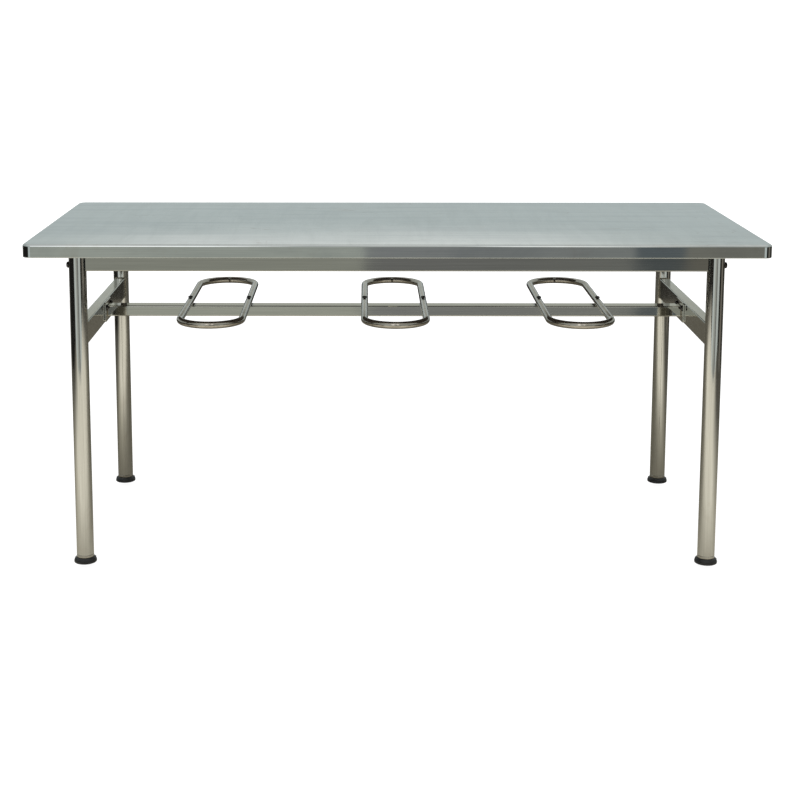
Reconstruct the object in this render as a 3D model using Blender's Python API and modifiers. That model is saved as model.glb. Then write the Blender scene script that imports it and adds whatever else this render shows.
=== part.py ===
"""Stainless canteen work table with three stool-hanging loops, as separate pieces at real size.

Metres, +Z up. The origin is on the floor, under the middle of the top. X runs along the
table and Y from the front edge to the rear edge.
"""

from math import cos, pi, sin

import bmesh
import bpy
from mathutils import Matrix, Vector

# ---------------------------------------------------------------- driving dimensions, metres
CLEARANCE = 0.0003  # gap between pieces that touch

TABLE_LENGTH = 1.600
TABLE_DEPTH = 0.700
TABLE_HEIGHT = 0.722

SHEET = 0.001  # stainless sheet of the top
FLANGE_HEIGHT = 0.029
TOP_CORNER_RADIUS = 0.020
TOP_ROLL_RADIUS = 0.005
LIP_WIDTH = 0.015
CORE_THICKNESS = 0.025
CORE_INSET = 0.0015  # from the outside of the sheet to the side of the board
CORE_CHAMFER = 0.006

TUBE_WALL = 0.0012
TUBE_CORNER = 0.0025  # outer corner radius of the rectangular tubes

LEG_RADIUS = 0.019
LEG_X = 0.690
LEG_Y = 0.296
LEG_SIDES = 24

RAIL_WIDTH = 0.025
RAIL_HEIGHT = 0.038

END_RAIL_HEIGHT = 0.050
END_RAIL_Z = 0.512  # height of its centre line, shared with the stretcher

STRETCHER_WIDTH = 0.038
STRETCHER_HEIGHT = 0.025
END_PLATE_SIZE = (0.003, 0.080, 0.046)
END_PLATE_CORNER = 0.005
END_PLATE_BOLT_Y = 0.030
END_PLATE_BOLT_RISE = 0.010

LOOP_SPACING = 0.411
LOOP_TUBE_RADIUS = 0.008
LOOP_WALL = 0.001
LOOP_WIDTH = 0.138  # between the centre lines of its two long sides
LOOP_LENGTH = 0.556
LOOP_END_STEPS = 12

FOOT_TRAVEL = 0.012
FOOT_RADIUS = 0.025
PAD_HEIGHT = 0.0057
COLLAR_TOP_RADIUS = 0.0205
COLLAR_TOP_Z = 0.0117
STEM_RADIUS = 0.005  # M10
STEM_GRIP = 0.020  # thread left in the insert when the foot is fully out
STEM_BUTTON = (0.0080, 0.0020, 0.0040)  # radius, lowest and highest point, caught in the pad
INSERT_FLANGE_HEIGHT = 0.006
INSERT_DEPTH = 0.024  # the stretch inside the leg

BOLT_STEPS = 12
SMALL_BOLT_STEPS = 10
BOLT_8_RADIUS = 0.004
BOLT_5_RADIUS = 0.0025
BOLT_8_HEAD = (0.007, 0.0045)  # radius and height of the domed head
BOLT_5_HEAD = (0.0058, 0.0036)
HOLE_PLAY = 0.0005  # hole radius less bolt radius
LEG_BOLT_Z = 0.670
LEG_BOLT_LENGTH = 0.050
PLATE_BOLT_LENGTH = 0.018
LOOP_BOLT_LENGTH = 0.028
TOP_SCREW_LENGTH = 0.052
TOP_SCREW_Y = 0.150
NUT_PLATE_THICKNESS = 0.006

# ---------------------------------------------------------------- places worked out from them
CORE_TOP_Z = TABLE_HEIGHT - SHEET - CLEARANCE
FRAME_TOP_Z = CORE_TOP_Z - CORE_THICKNESS - CLEARANCE
RAIL_Z = FRAME_TOP_Z - RAIL_HEIGHT / 2
RAIL_HALF_LENGTH = LEG_X - LEG_RADIUS - CLEARANCE
INSERT_BOTTOM_Z = COLLAR_TOP_Z + CLEARANCE
STEM_TOP_Z = INSERT_BOTTOM_Z + STEM_GRIP + FOOT_TRAVEL
LEG_BOTTOM_Z = INSERT_BOTTOM_Z + INSERT_FLANGE_HEIGHT + CLEARANCE
STRETCHER_TOP_Z = END_RAIL_Z + STRETCHER_HEIGHT / 2
LOOP_Z = STRETCHER_TOP_Z + LOOP_TUBE_RADIUS + CLEARANCE
PLATE_BOLT_Z = END_RAIL_Z + END_PLATE_BOLT_RISE
END_PLATE_X = LEG_X - RAIL_WIDTH / 2 - CLEARANCE - END_PLATE_SIZE[0] / 2
PLATE_INNER_X = END_PLATE_X - END_PLATE_SIZE[0] / 2
STRETCHER_HALF_LENGTH = PLATE_INNER_X - CLEARANCE
LOOP_PLACES = (-LOOP_SPACING, 0.0, LOOP_SPACING)
BOLT_8_HOLE = BOLT_8_RADIUS + HOLE_PLAY
BOLT_5_HOLE = BOLT_5_RADIUS + HOLE_PLAY
SIDES = {"left": -1, "right": 1}
ROWS = {"front": -1, "rear": 1}


# ---------------------------------------------------------------- scene, collections, materials
for old in list(bpy.data.objects):
    bpy.data.objects.remove(old, do_unlink=True)

parts = bpy.data.collections.new("work_table")
cutters = bpy.data.collections.new("work_table_cutters")
bpy.context.scene.collection.children.link(parts)
bpy.context.scene.collection.children.link(cutters)


def material(name, colour, roughness, metallic):
    """A Principled material of one colour."""
    made = bpy.data.materials.new(name)
    made.use_nodes = True
    shader = made.node_tree.nodes["Principled BSDF"]
    shader.inputs["Base Color"].default_value = (*colour, 1.0)
    shader.inputs["Roughness"].default_value = roughness
    shader.inputs["Metallic"].default_value = metallic
    return made


SATIN_STEEL = material("satin_stainless", (0.56, 0.58, 0.58), 0.32, 1.0)
POLISHED_STEEL = material("polished_stainless", (0.62, 0.61, 0.58), 0.12, 1.0)
ZINC_STEEL = material("zinc_plated_steel", (0.50, 0.51, 0.52), 0.35, 1.0)
BLACK_PLASTIC = material("black_plastic", (0.015, 0.015, 0.016), 0.45, 0.0)
BOARD = material("core_board", (0.48, 0.36, 0.23), 0.75, 0.0)


# ---------------------------------------------------------------- modelling helpers
def add(name, mesh, finish, place=(0, 0, 0), parent=None):
    """Puts a mesh in the parts collection as one named node."""
    obj = bpy.data.objects.new(name, mesh)
    obj.location = place
    obj.parent = parent
    if not mesh.materials:
        mesh.materials.append(finish)
    parts.objects.link(obj)
    return obj


def add_cutter(name, mesh):
    """Puts a mesh among the cutters, which are not part of the table."""
    obj = bpy.data.objects.new(name, mesh)
    obj.hide_render = True
    obj.display_type = "WIRE"
    cutters.objects.link(obj)
    return obj


def mesh_of(bm, name, smooth_angle=None):
    """Turns a bmesh into a mesh, shaded smooth up to an angle where one is given."""
    bmesh.ops.recalc_face_normals(bm, faces=bm.faces)
    mesh = bpy.data.meshes.new(name)
    bm.to_mesh(mesh)
    bm.free()
    if smooth_angle is not None:
        mesh.shade_smooth()
        mesh.set_sharp_from_angle(angle=smooth_angle)
    return mesh


def cube(size):
    """A bmesh box of the given size, centred."""
    bm = bmesh.new()
    bmesh.ops.create_cube(bm, size=1.0)
    bmesh.ops.scale(bm, vec=size, verts=bm.verts)
    return bm


def edges_along(bm, axis):
    """The edges that run along one axis, 0 to 2."""
    unit = Vector([float(i == axis) for i in range(3)])
    return [e for e in bm.edges if abs((e.verts[1].co - e.verts[0].co).normalized().dot(unit)) > 0.99]


def round_edges(bm, edges, radius, steps):
    bmesh.ops.bevel(bm, geom=edges, offset=radius, segments=steps, profile=0.5, affect="EDGES")


def solidify(obj, thickness):
    """Gives an open surface its wall, towards the inside."""
    wall = obj.modifiers.new("wall", "SOLIDIFY")
    wall.thickness = thickness
    wall.offset = -1.0
    wall.use_even_offset = True


def boolean(obj, cutter, name):
    cut = obj.modifiers.new(name, "BOOLEAN")
    cut.operation = "DIFFERENCE"
    cut.solver = "EXACT"
    cut.object = cutter


def rod_mesh(name, radius, length, axis, sides):
    """A plain closed cylinder along an axis, 0 to 2, centred."""
    bm = bmesh.new()
    turn = (Matrix.Rotation(pi / 2, 4, "Y"), Matrix.Rotation(pi / 2, 4, "X"), Matrix())[axis]
    bmesh.ops.create_cone(
        bm, cap_ends=True, segments=sides, radius1=radius, radius2=radius, depth=length, matrix=turn
    )
    return mesh_of(bm, name)


def drill(obj, label, radius, length, axis, place, sides=12):
    """Cuts a round hole, centred on a place in the table's frame."""
    name = f"{obj.name}_{label}"
    cutter = add_cutter(name, rod_mesh(name, radius, length, axis, sides))
    cutter.location = place
    boolean(obj, cutter, label)


def rectangular_tube(name, length, axis, section, finish, place):
    """An open-ended tube. section gives its outer size on the other two axes, in X, Y, Z order."""
    size = list(section)
    size.insert(axis, length)
    bm = cube(size)
    ends = [f for f in bm.faces if abs(f.normal[axis]) > 0.9]
    bmesh.ops.delete(bm, geom=ends, context="FACES_ONLY")
    round_edges(bm, edges_along(bm, axis), TUBE_CORNER, 2)
    tube = add(name, mesh_of(bm, name, 0.9), finish, place)
    solidify(tube, TUBE_WALL)
    return tube


def profile_mesh(name, points, closed=False):
    """Half the outline of a turned piece, as (radius, height), running down its outer side."""
    edges = [(i, i + 1) for i in range(len(points) - 1)]
    if closed:
        edges.append((len(points) - 1, 0))
    mesh = bpy.data.meshes.new(name)
    mesh.from_pydata([(radius, 0, height) for radius, height in points], edges, [])
    return mesh


def turned(name, profile, steps, finish, place=(0, 0, 0), parent=None):
    """A solid of revolution about the object's own Z axis."""
    obj = add(name, profile, finish, place, parent)
    turn = obj.modifiers.new("turn", "SCREW")
    turn.steps = steps
    turn.render_steps = steps
    turn.use_merge_vertices = True
    turn.merge_threshold = 0.00001
    turn.use_smooth_shade = True
    return obj


def bolt_profile(name, head, shank_radius, length):
    """A domed bolt along Z. Its head stands on z = 0, and its shank hangs below."""
    head_radius, head_height = head
    dome = [(head_radius * sin(a), head_height * cos(a)) for a in (0, pi / 5, pi / 3, pi / 2)]
    shank = [(shank_radius, 0), (shank_radius, -length), (0, -length)]
    return profile_mesh(name, dome + shank)


# ---------------------------------------------------------------- the top
def top_sheet():
    """The pressed pan: work surface, rolled edge, upright flange and return lip."""
    bm = cube((TABLE_LENGTH, TABLE_DEPTH, FLANGE_HEIGHT))
    round_edges(bm, edges_along(bm, 2), TOP_CORNER_RADIUS, 6)
    surface = max(bm.faces, key=lambda f: f.normal.z)
    round_edges(bm, list(surface.edges), TOP_ROLL_RADIUS, 3)
    bm.faces.ensure_lookup_table()
    underside = min(bm.faces, key=lambda f: f.normal.z)
    bmesh.ops.inset_region(bm, faces=[underside], thickness=LIP_WIDTH, use_even_offset=True)
    bmesh.ops.delete(bm, geom=[underside], context="FACES")
    centre_z = TABLE_HEIGHT - FLANGE_HEIGHT / 2
    pan = add("top_sheet", mesh_of(bm, "top_sheet", 0.6), SATIN_STEEL, (0, 0, centre_z))
    solidify(pan, SHEET)


def top_core_board():
    """The board that backs the sheet, with pilot holes for the screws."""
    size = (TABLE_LENGTH - 2 * CORE_INSET, TABLE_DEPTH - 2 * CORE_INSET, CORE_THICKNESS)
    bm = cube(size)
    round_edges(bm, edges_along(bm, 2), TOP_CORNER_RADIUS - CORE_INSET, 6)
    upper = max(bm.faces, key=lambda f: f.normal.z)
    round_edges(bm, list(upper.edges), CORE_CHAMFER, 1)
    centre_z = CORE_TOP_Z - CORE_THICKNESS / 2
    board = add("top_core_board", mesh_of(bm, "top_core_board"), BOARD, (0, 0, centre_z))
    depth = 2 * (TOP_SCREW_LENGTH - RAIL_HEIGHT + CLEARANCE)
    for x in (-LEG_X, 0.0, LEG_X):
        for row, sign in ROWS.items():
            place = (x, sign * TOP_SCREW_Y, FRAME_TOP_Z + CLEARANCE)
            drill(board, f"pilot_{row}_{x:+.2f}", BOLT_5_HOLE, depth, 2, place)


# ---------------------------------------------------------------- the frame
def long_rails():
    for row, sign in ROWS.items():
        place = (0, sign * LEG_Y, RAIL_Z)
        section = (RAIL_WIDTH, RAIL_HEIGHT)
        rectangular_tube(f"{row}_top_rail", 2 * RAIL_HALF_LENGTH, 0, section, POLISHED_STEEL, place)


def top_cross_rails():
    """The two short rails between the legs and the bearer in the middle, each with two screws."""
    bearer_length = 2 * (LEG_Y - RAIL_WIDTH / 2 - CLEARANCE)
    screw = bolt_profile("top_screw", BOLT_5_HEAD, BOLT_5_RADIUS, TOP_SCREW_LENGTH)
    rails = (
        ("left_top_end_rail", -LEG_X, 2 * LEG_Y),
        ("centre_bearer", 0.0, bearer_length),
        ("right_top_end_rail", LEG_X, 2 * LEG_Y),
    )
    for name, x, length in rails:
        rail = rectangular_tube(name, length, 1, (RAIL_WIDTH, RAIL_HEIGHT), POLISHED_STEEL, (x, 0, RAIL_Z))
        if x:
            cope(rail, x)
        for row, sign in ROWS.items():
            place = (x, sign * TOP_SCREW_Y, RAIL_Z)
            drill(rail, f"{row}_screw_hole", BOLT_5_HOLE, 2 * RAIL_HEIGHT, 2, place)
            underside = (x, sign * TOP_SCREW_Y, RAIL_Z - RAIL_HEIGHT / 2 - CLEARANCE)
            label = f"{name.replace('_rail', '')}_{row}_screw"
            fixing = turned(label, screw, SMALL_BOLT_STEPS, ZINC_STEEL, underside)
            fixing.rotation_euler.x = pi


def cope(rail, x):
    """Hollows both ends of a rail to the round legs that it is welded to."""
    for row, sign in ROWS.items():
        place = (x, sign * LEG_Y, rail.location.z)
        drill(rail, f"{row}_cope", LEG_RADIUS + 2 * CLEARANCE, 2 * END_RAIL_HEIGHT, 2, place, LEG_SIDES)


def end_rails():
    for side, sign in SIDES.items():
        section = (RAIL_WIDTH, END_RAIL_HEIGHT)
        place = (sign * LEG_X, 0, END_RAIL_Z)
        rail = rectangular_tube(f"{side}_end_rail", 2 * LEG_Y, 1, section, POLISHED_STEEL, place)
        cope(rail, sign * LEG_X)
        for row, y_sign in ROWS.items():
            hole = (sign * (LEG_X - RAIL_WIDTH / 2), y_sign * END_PLATE_BOLT_Y, PLATE_BOLT_Z)
            drill(rail, f"{row}_bolt_hole", BOLT_8_HOLE, RAIL_WIDTH / 2, 0, hole)


def legs():
    """Four round tubes, each drilled across for the bolt into the long rail."""
    length = FRAME_TOP_Z - LEG_BOTTOM_Z
    bm = bmesh.new()
    bmesh.ops.create_cone(
        bm, cap_ends=False, segments=LEG_SIDES, radius1=LEG_RADIUS, radius2=LEG_RADIUS, depth=length
    )
    tube = mesh_of(bm, "leg", 0.6)
    for row, y_sign in ROWS.items():
        for side, x_sign in SIDES.items():
            x, y = x_sign * LEG_X, y_sign * LEG_Y
            leg = add(f"{row}_{side}_leg", tube, POLISHED_STEEL, (x, y, LEG_BOTTOM_Z + length / 2))
            solidify(leg, TUBE_WALL)
            drill(leg, "bolt_hole", BOLT_8_HOLE, 4 * LEG_RADIUS, 0, (x, y, LEG_BOLT_Z))


def leg_bolts():
    """A tapped plate in each end of the long rails, and the bolt that pulls it to its leg."""
    bolt = bolt_profile("leg_bolt", BOLT_8_HEAD, BOLT_8_RADIUS, LEG_BOLT_LENGTH)
    inner = 2 * (TUBE_WALL + CLEARANCE)
    size = (NUT_PLATE_THICKNESS, RAIL_WIDTH - inner, RAIL_HEIGHT - inner)
    bm = cube(size)
    round_edges(bm, edges_along(bm, 0), TUBE_CORNER, 2)
    plate_mesh = mesh_of(bm, "rail_nut_plate")
    for row, y_sign in ROWS.items():
        for side, x_sign in SIDES.items():
            y = y_sign * LEG_Y
            plate_x = x_sign * (RAIL_HALF_LENGTH - NUT_PLATE_THICKNESS / 2)
            plate = add(f"{row}_{side}_rail_nut_plate", plate_mesh, ZINC_STEEL, (plate_x, y, RAIL_Z))
            tapped = (plate_x, y, LEG_BOLT_Z)
            drill(plate, "tapped_hole", BOLT_8_HOLE, 3 * NUT_PLATE_THICKNESS, 0, tapped)
            seat = (x_sign * (LEG_X + LEG_RADIUS + CLEARANCE), y, LEG_BOLT_Z)
            placed = turned(f"{row}_{side}_leg_bolt", bolt, BOLT_STEPS, ZINC_STEEL, seat)
            placed.rotation_euler.y = x_sign * pi / 2


# ---------------------------------------------------------------- the stretcher
def stretcher():
    """The long tube between the end rails, its two end plates and their bolts."""
    section = (STRETCHER_WIDTH, STRETCHER_HEIGHT)
    place = (0, 0, END_RAIL_Z)
    tube = rectangular_tube("stretcher", 2 * STRETCHER_HALF_LENGTH, 0, section, POLISHED_STEEL, place)
    for number, x in enumerate(LOOP_PLACES, 1):
        for side, sign in SIDES.items():
            hole = (x + sign * LOOP_WIDTH / 2, 0, STRETCHER_TOP_Z)
            drill(tube, f"loop_{number}_{side}", BOLT_5_HOLE, STRETCHER_HEIGHT / 2, 2, hole)
    bolt = bolt_profile("plate_bolt", BOLT_8_HEAD, BOLT_8_RADIUS, PLATE_BOLT_LENGTH)
    bm = cube(END_PLATE_SIZE)
    round_edges(bm, edges_along(bm, 0), END_PLATE_CORNER, 2)
    plate_mesh = mesh_of(bm, "end_plate")
    for side, sign in SIDES.items():
        plate = add(f"{side}_end_plate", plate_mesh, POLISHED_STEEL, (sign * END_PLATE_X, 0, END_RAIL_Z))
        for row, y_sign in ROWS.items():
            y = y_sign * END_PLATE_BOLT_Y
            hole = (sign * END_PLATE_X, y, PLATE_BOLT_Z)
            drill(plate, f"{row}_bolt_hole", BOLT_8_HOLE, 4 * END_PLATE_SIZE[0], 0, hole)
            seat = (sign * (PLATE_INNER_X - CLEARANCE), y, PLATE_BOLT_Z)
            placed = turned(f"{side}_{row}_plate_bolt", bolt, BOLT_STEPS, ZINC_STEEL, seat)
            placed.rotation_euler.y = -sign * pi / 2


# ---------------------------------------------------------------- the stool loops
def stadium(width, length, steps):
    """Points round a flat outline with two straight sides and two half-round ends."""
    radius = width / 2
    straight = length / 2 - radius
    points = []
    for end in (1, -1):
        for i in range(steps + 1):
            angle = pi * i / steps
            points.append((end * radius * cos(angle), end * (straight + radius * sin(angle)), 0))
    return points


def ring_mesh(name, tube_radius):
    """A closed round bar that follows the stadium outline."""
    points = stadium(LOOP_WIDTH, LOOP_LENGTH, LOOP_END_STEPS)
    curve = bpy.data.curves.new(name, "CURVE")
    curve.dimensions = "3D"
    curve.twist_mode = "Z_UP"
    curve.bevel_depth = tube_radius
    curve.bevel_resolution = 2
    spline = curve.splines.new("POLY")
    spline.points.add(len(points) - 1)
    for point, place in zip(spline.points, points):
        point.co = (*place, 1.0)
    spline.use_cyclic_u = True
    guide = bpy.data.objects.new(name, curve)
    cutters.objects.link(guide)
    graph = bpy.context.evaluated_depsgraph_get()
    mesh = bpy.data.meshes.new_from_object(guide.evaluated_get(graph))
    bpy.data.objects.remove(guide)
    bm = bmesh.new()
    bm.from_mesh(mesh)
    bpy.data.meshes.remove(mesh)
    bmesh.ops.remove_doubles(bm, verts=bm.verts, dist=0.00001)
    return mesh_of(bm, name, 1.0)


def stool_loops():
    """Three loops of bent tube across the stretcher, each held by two domed bolts."""
    outside = ring_mesh("stool_loop", LOOP_TUBE_RADIUS)
    bore = add_cutter("stool_loop_bore", ring_mesh("stool_loop_bore", LOOP_TUBE_RADIUS - LOOP_WALL))
    bolt = bolt_profile("loop_bolt", BOLT_5_HEAD, BOLT_5_RADIUS, LOOP_BOLT_LENGTH)
    for number, x in enumerate(LOOP_PLACES, 1):
        loop = add(f"stool_loop_{number}", outside, POLISHED_STEEL, (x, 0, LOOP_Z))
        hollow = bore if number == 1 else add_cutter(f"stool_loop_{number}_bore", bore.data)
        hollow.location = loop.location
        boolean(loop, hollow, "bore")
        for side, sign in SIDES.items():
            bolt_x = x + sign * LOOP_WIDTH / 2
            hole = (bolt_x, 0, LOOP_Z)
            drill(loop, f"{side}_bolt_hole", BOLT_5_HOLE, 4 * LOOP_TUBE_RADIUS, 2, hole)
            seat = (bolt_x, 0, LOOP_Z + LOOP_TUBE_RADIUS + CLEARANCE)
            turned(f"loop_{number}_{side}_bolt", bolt, SMALL_BOLT_STEPS, ZINC_STEEL, seat)


# ---------------------------------------------------------------- the adjustable feet
def foot_shapes():
    """The half outlines, turning steps and finishes of one foot, with the floor at z = 0."""
    bore = STEM_RADIUS + HOLE_PLAY
    button_radius, button_low, button_high = STEM_BUTTON
    recess_radius = button_radius + HOLE_PLAY
    pad = [
        (0, button_low - CLEARANCE),
        (recess_radius, button_low - CLEARANCE),
        (recess_radius, button_high + CLEARANCE),
        (bore, button_high + CLEARANCE),
        (bore, PAD_HEIGHT),
        (FOOT_RADIUS - 0.0006, PAD_HEIGHT),
        (FOOT_RADIUS, PAD_HEIGHT - 0.0008),
        (FOOT_RADIUS, 0.0010),
        (FOOT_RADIUS - 0.0010, 0),
        (0, 0),
    ]
    stem = [
        (0, STEM_TOP_Z),
        (STEM_RADIUS - 0.0010, STEM_TOP_Z),
        (STEM_RADIUS, STEM_TOP_Z - 0.0010),
        (STEM_RADIUS, button_high),
        (button_radius, button_high),
        (button_radius, button_low),
        (0, button_low),
    ]
    collar_low = PAD_HEIGHT + CLEARANCE
    collar = [
        (bore, COLLAR_TOP_Z),
        (COLLAR_TOP_RADIUS, COLLAR_TOP_Z),
        (FOOT_RADIUS - 0.0008, collar_low + 0.0010),
        (FOOT_RADIUS - 0.0012, collar_low),
        (bore, collar_low),
    ]
    plug_radius = (LEG_RADIUS - TUBE_WALL) * cos(pi / LEG_SIDES) - CLEARANCE
    flange_top = INSERT_BOTTOM_Z + INSERT_FLANGE_HEIGHT
    insert = [
        (bore, flange_top + INSERT_DEPTH),
        (plug_radius, flange_top + INSERT_DEPTH),
        (plug_radius, flange_top),
        (LEG_RADIUS, flange_top),
        (LEG_RADIUS, INSERT_BOTTOM_Z + 0.0010),
        (LEG_RADIUS - 0.0010, INSERT_BOTTOM_Z),
        (bore, INSERT_BOTTOM_Z),
    ]
    return {
        "foot_pad": (profile_mesh("foot_pad", pad), 20, BLACK_PLASTIC),
        "foot_stem": (profile_mesh("foot_stem", stem), 16, ZINC_STEEL),
        "foot_collar": (profile_mesh("foot_collar", collar, closed=True), 20, BLACK_PLASTIC),
        "leg_insert": (profile_mesh("leg_insert", insert, closed=True), 16, POLISHED_STEEL),
    }


def feet():
    """At each leg: the tapped insert, and the pad, collar and stem that screw down out of it."""
    shapes = foot_shapes()
    for row, y_sign in ROWS.items():
        for side, x_sign in SIDES.items():
            axis = bpy.data.objects.new(f"{row}_{side}_foot_axis", None)
            axis.location = (x_sign * LEG_X, y_sign * LEG_Y, 0)
            parts.objects.link(axis)
            for name, (profile, steps, finish) in shapes.items():
                turned(f"{row}_{side}_{name}", profile, steps, finish, parent=axis)


top_sheet()
top_core_board()
long_rails()
top_cross_rails()
end_rails()
legs()
leg_bolts()
stretcher()
stool_loops()
feet()
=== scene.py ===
# %% [markdown]
# # A stainless canteen table with stool loops
#
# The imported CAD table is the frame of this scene. It says where every piece sits and what moves
# it. Round tubes, the pressed top, bolts and feet are made again here with finer meshes, in the
# space that their CAD solids hold, and every surface gets a finish built from shader nodes.

# %% Load the frame
from math import cos, pi, radians, sin, sqrt, tau

import bmesh
import bpy
from mathutils import Matrix, Vector


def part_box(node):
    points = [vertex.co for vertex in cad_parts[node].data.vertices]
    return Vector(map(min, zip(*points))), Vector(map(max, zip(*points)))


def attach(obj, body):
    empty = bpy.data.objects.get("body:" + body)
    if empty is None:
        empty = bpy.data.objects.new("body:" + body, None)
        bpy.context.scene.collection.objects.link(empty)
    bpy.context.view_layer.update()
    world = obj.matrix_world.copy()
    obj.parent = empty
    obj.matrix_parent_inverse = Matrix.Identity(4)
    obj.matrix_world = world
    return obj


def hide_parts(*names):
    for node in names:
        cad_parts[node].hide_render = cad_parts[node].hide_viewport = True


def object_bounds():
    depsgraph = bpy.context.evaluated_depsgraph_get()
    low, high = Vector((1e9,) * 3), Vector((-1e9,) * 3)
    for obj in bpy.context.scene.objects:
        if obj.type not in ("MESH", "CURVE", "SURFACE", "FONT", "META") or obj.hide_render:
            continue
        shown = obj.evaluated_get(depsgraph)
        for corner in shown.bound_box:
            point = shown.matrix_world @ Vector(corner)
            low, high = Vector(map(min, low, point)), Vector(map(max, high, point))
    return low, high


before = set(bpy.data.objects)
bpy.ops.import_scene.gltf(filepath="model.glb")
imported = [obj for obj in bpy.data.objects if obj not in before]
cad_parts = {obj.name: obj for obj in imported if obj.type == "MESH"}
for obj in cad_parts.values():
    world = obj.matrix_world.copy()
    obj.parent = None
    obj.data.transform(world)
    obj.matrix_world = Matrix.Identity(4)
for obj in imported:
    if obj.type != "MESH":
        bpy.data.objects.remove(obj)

scene = bpy.context.scene
cad_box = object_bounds()
low_corner, high_corner = cad_box
print("CAD box", [round(v, 4) for v in (*low_corner, *high_corner)])

# %% [markdown]
# ## Small helpers
#
# Three things come back all through the script: a shader or geometry node with its settings and
# links, a colour given as a hex code, and a piece that rides on a body of the frame. One short
# function for each keeps the cells below about the table itself.


# %% A node with its settings and links
def node(tree, kind, inputs=None, **settings):
    """Adds a node. An input is either a plain value or the socket that feeds it."""
    made = tree.nodes.new(kind)
    for name, value in settings.items():
        setattr(made, name, value)
    for name, value in (inputs or {}).items():
        if isinstance(value, bpy.types.NodeSocket):
            tree.links.new(value, made.inputs[name])
        else:
            made.inputs[name].default_value = value
    return made


def colour(code):
    """An sRGB hex code as linear RGBA."""
    parts = [int(code[i : i + 2], 16) / 255 for i in (0, 2, 4)]
    linear = [p / 12.92 if p <= 0.04045 else ((p + 0.055) / 1.055) ** 2.4 for p in parts]
    return (*linear, 1.0)


def ramp_colours(ramp_node, stops):
    """Fills a colour ramp from (position, hex code) pairs and gives the socket of its colour."""
    ramp = ramp_node.color_ramp
    while len(ramp.elements) < len(stops):
        ramp.elements.new(1.0)
    for element, (position, code) in zip(ramp.elements, stops):
        element.position = position
        element.color = colour(code)
    return ramp_node.outputs[0]


# %% A piece that rides on the frame
triangle_counts = []


def placed(name, data):
    """A mesh, a light or a camera as an object in the scene."""
    obj = bpy.data.objects.new(name, data)
    scene.collection.objects.link(obj)
    return obj


def piece(name, mesh, finish, body="table", nodes=()):
    """Puts a mesh in the scene, lets it ride on a body and stand for its CAD nodes."""
    mesh.name = name
    mesh.materials.clear()
    mesh.materials.append(finish)
    obj = placed(name, mesh)
    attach(obj, body)
    if nodes:
        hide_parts(*nodes)
    mesh.calc_loop_triangles()
    triangle_counts.append(len(mesh.loop_triangles))
    print(f"{name}: {triangle_counts[-1]} triangles on {body}")


def baked(obj):
    """The mesh of an object with its modifiers run. The object and its modifiers go."""
    graph = bpy.context.evaluated_depsgraph_get()
    result = bpy.data.meshes.new_from_object(obj.evaluated_get(graph), depsgraph=graph)
    obj.modifiers.clear()
    bpy.data.objects.remove(obj)
    return result


def evaluated(mesh, *setups):
    """Runs modifiers on a mesh and returns the result as a plain mesh."""
    obj = placed("work", mesh)
    for kind, settings in setups:
        modifier = obj.modifiers.new(kind, kind)
        for name, value in settings.items():
            setattr(modifier, name, value)
    return baked(obj)


# %% [markdown]
# ## Skinned shapes
#
# Tubes, pressed sheet and turned pieces are all rings of points with a skin between them. A ring
# that is a rounded rectangle gives a rail or the table top, and a ring that is a circle gives
# a leg, a foot or a bolt. Area-weighted normals keep the flat faces flat beside a rounded edge,
# which matters on polished metal, where a bent normal shows as a bent reflection.


# %% Rings and the skin between them
def circle(radius, steps, height=0.0):
    angles = [tau * i / steps for i in range(steps)]
    return [Vector((radius * cos(angle), radius * sin(angle), height)) for angle in angles]


def rounded(half_a, half_b, radius, steps):
    """Points round a rectangle with rounded corners, anticlockwise, as (a, b) pairs."""
    points = []
    for corner, (sign_a, sign_b) in enumerate(((1, 1), (-1, 1), (-1, -1), (1, -1))):
        for i in range(steps + 1):
            angle = pi / 2 * (corner + i / steps)
            a, b = sign_a * (half_a - radius), sign_b * (half_b - radius)
            points.append((a + radius * cos(angle), b + radius * sin(angle)))
    return points


def skin(rings, wrap=False):
    """Quads between neighbouring rings. Open ends are capped, or joined where wrap is set."""
    bm = bmesh.new()
    made = [[bm.verts.new(point) for point in ring] for ring in rings]
    pairs = list(zip(made, made[1:])) + ([(made[-1], made[0])] if wrap else [])
    for ring, following in pairs:
        for i in range(len(ring)):
            j = (i + 1) % len(ring)
            bm.faces.new((ring[i], ring[j], following[j], following[i]))
    if not wrap:
        bm.faces.new(made[0][::-1])
        bm.faces.new(made[-1])
    bmesh.ops.recalc_face_normals(bm, faces=bm.faces)
    mesh = bpy.data.meshes.new("skin")
    bm.to_mesh(mesh)
    bm.free()
    return mesh


def smoothed(mesh, angle=35.0):
    """Smooth shading up to an angle, with normals that favour the large faces."""
    mesh.shade_smooth()
    mesh.set_sharp_from_angle(angle=radians(angle))
    return evaluated(mesh, ("WEIGHTED_NORMAL", {"mode": "FACE_AREA", "weight": 50, "keep_sharp": True}))


AXIS_RADIUS = 0.00005  # a point on the axis is a very small ring


def turned(profile, steps, place, wrap=False):
    """A solid of revolution from (radius, height) pairs, upright at a place. wrap makes it hollow."""
    centre = Vector(place)
    rings = [circle(max(radius, AXIS_RADIUS), steps, height) for radius, height in profile]
    return skin([[p + centre for p in ring] for ring in rings], wrap=wrap)


def cut(mesh, cutters):
    """Takes closed cutter meshes out of a mesh."""
    holders = [placed("cutter", cutter) for cutter in cutters]
    setups = [("BOOLEAN", {"operation": "DIFFERENCE", "solver": "EXACT", "object": h}) for h in holders]
    result = evaluated(mesh, *setups)
    for holder in holders:
        bpy.data.objects.remove(holder)
    return result


# %% [markdown]
# ## The camera
#
# The table is seen from a little left of its middle and above the top, through a long lens, as a
# catalogue shows it. Part of the view downward comes from tilting the camera and part from
# shifting the lens, which keeps the legs almost upright.

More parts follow.
